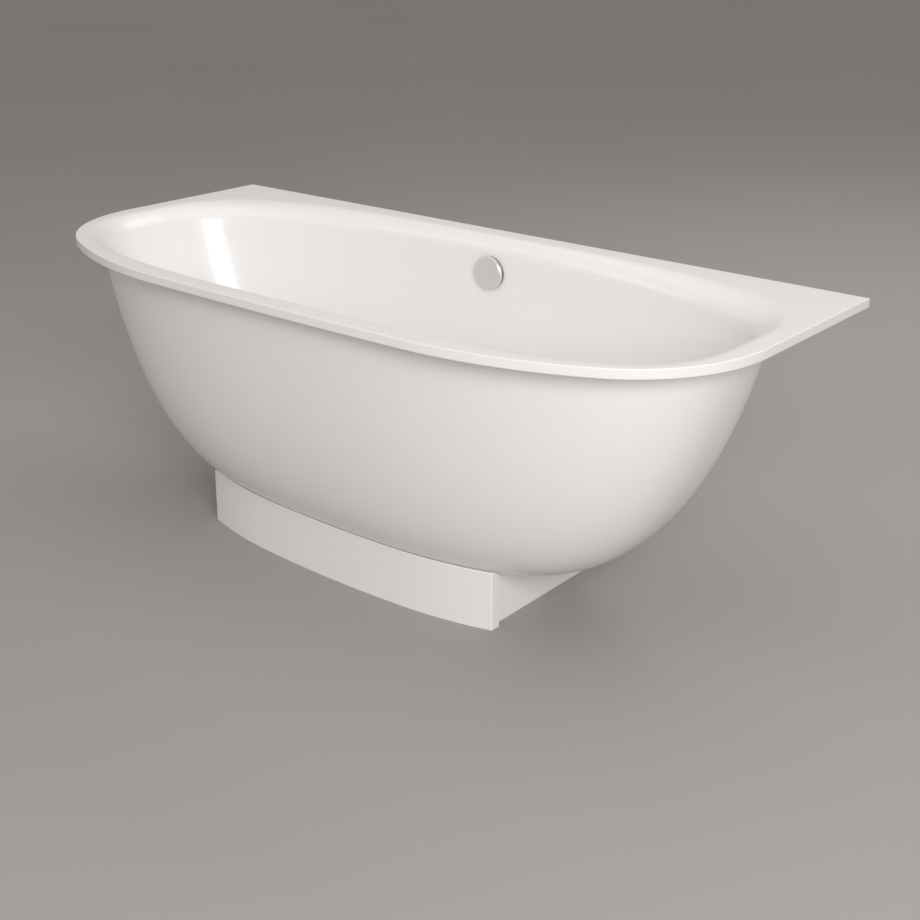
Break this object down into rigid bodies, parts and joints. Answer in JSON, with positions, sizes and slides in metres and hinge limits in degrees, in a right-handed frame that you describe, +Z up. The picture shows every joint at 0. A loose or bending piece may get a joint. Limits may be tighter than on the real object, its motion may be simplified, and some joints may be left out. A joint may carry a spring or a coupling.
{
  "type": "bathtub",
  "caption": "Back-to-wall oval bathtub cast in one piece with its straight-backed deck, on a low bowed plinth, with a turning overflow control that lifts the waste plug.",
  "frame": {"origin": "on the floor, under the middle of the bath's outline", "axes": "+X along the length, +Y towards the wall that the straight back stands against, +Z up"},
  "size_m": [1.7, 0.7548, 0.62],
  "materials": {
    "stone_resin": "satin",
    "plinth_resin": "satin",
    "plinth_timber": "matte",
    "galvanised_steel": "matte",
    "bedding_resin": "matte",
    "zinc_plated_steel": "satin",
    "foot_plastic": "matte",
    "bright_chrome": "polished",
    "satin_chrome": "satin",
    "seal_rubber": "matte",
    "plain_brass": "satin",
    "stainless_steel": "satin",
    "fitting_plastic": "satin",
    "nut_plastic": "satin",
    "hose_plastic": "satin",
    "cable_sheath": "satin"
  },
  "bodies": {
    "bath": {"bath_shell": "stone_resin", "plinth_front_panel": "plinth_resin", "plinth_left_side": "plinth_resin", "plinth_right_side": "plinth_resin", "plinth_rear_rail": "plinth_timber", "corner_blocks": "plinth_timber", "left_bearer": "galvanised_steel", "right_bearer": "galvanised_steel", "bedding_pads": "bedding_resin", "bearer_nuts": "zinc_plated_steel", "lock_nuts": "zinc_plated_steel", "lever_pin": "zinc_plated_steel", "overflow_screws": "zinc_plated_steel", "waste_flange": "bright_chrome", "waste_flange_seal": "seal_rubber", "waste_gasket": "seal_rubber", "overflow_gasket": "seal_rubber", "overflow_face_seal": "seal_rubber", "trap_cap_seal": "seal_rubber", "overflow_clamp_ring": "stainless_steel", "waste_body": "fitting_plastic", "overflow_body": "fitting_plastic", "trap_body": "fitting_plastic", "outlet_pipe": "fitting_plastic", "hose_upper_nut": "nut_plastic", "hose_lower_nut": "nut_plastic", "trap_inlet_nut": "nut_plastic", "trap_outlet_nut": "nut_plastic", "trap_cap": "nut_plastic", "cable_upper_gland": "nut_plastic", "cable_lower_gland": "nut_plastic", "overflow_hose": "hose_plastic", "control_cable": "cable_sheath"},
    "plug": {"waste_plug": "bright_chrome", "plug_seal": "seal_rubber", "plug_stem": "plain_brass"},
    "lever": {"lift_lever": "plain_brass"},
    "knob": {"overflow_knob": "satin_chrome", "knob_spindle": "plain_brass", "cable_drum": "fitting_plastic"},
    "left_front_leveller": {"left_front_foot": "foot_plastic", "left_front_stud": "zinc_plated_steel"},
    "left_rear_leveller": {"left_rear_foot": "foot_plastic", "left_rear_stud": "zinc_plated_steel"},
    "right_front_leveller": {"right_front_foot": "foot_plastic", "right_front_stud": "zinc_plated_steel"},
    "right_rear_leveller": {"right_rear_foot": "foot_plastic", "right_rear_stud": "zinc_plated_steel"}
  },
  "joints": [
    {"name": "knob_turn", "type": "hinge", "parent": "bath", "child": "knob", "pos_m": [0, 0.2955, 0.541], "axis": [0, -1, 0], "range_deg": [0, 75]},
    {"name": "lever_swing", "type": "hinge", "parent": "bath", "child": "lever", "pos_m": [-0.02142, -0.0025, 0.056], "axis": [0, -1, 0], "range_deg": [0, 26.27]},
    {"name": "plug_lift", "type": "slide", "parent": "bath", "child": "plug", "axis": [0, 0, 1], "range_m": [0, 0.01]},
    {"name": "left_front_foot_travel", "type": "slide", "parent": "bath", "child": "left_front_leveller", "axis": [0, 0, 1], "range_m": [0, 0.01]},
    {"name": "left_rear_foot_travel", "type": "slide", "parent": "bath", "child": "left_rear_leveller", "axis": [0, 0, 1], "range_m": [0, 0.01]},
    {"name": "right_front_foot_travel", "type": "slide", "parent": "bath", "child": "right_front_leveller", "axis": [0, 0, 1], "range_m": [0, 0.01]},
    {"name": "right_rear_foot_travel", "type": "slide", "parent": "bath", "child": "right_rear_leveller", "axis": [0, 0, 1], "range_m": [0, 0.01]}
  ],
  "couplings": [
    {"joint": "lever_swing", "follows": "knob_turn", "ratio": 0.35},
    {"joint": "plug_lift", "follows": "knob_turn", "m_per_rad": 0.00763}
  ]
}
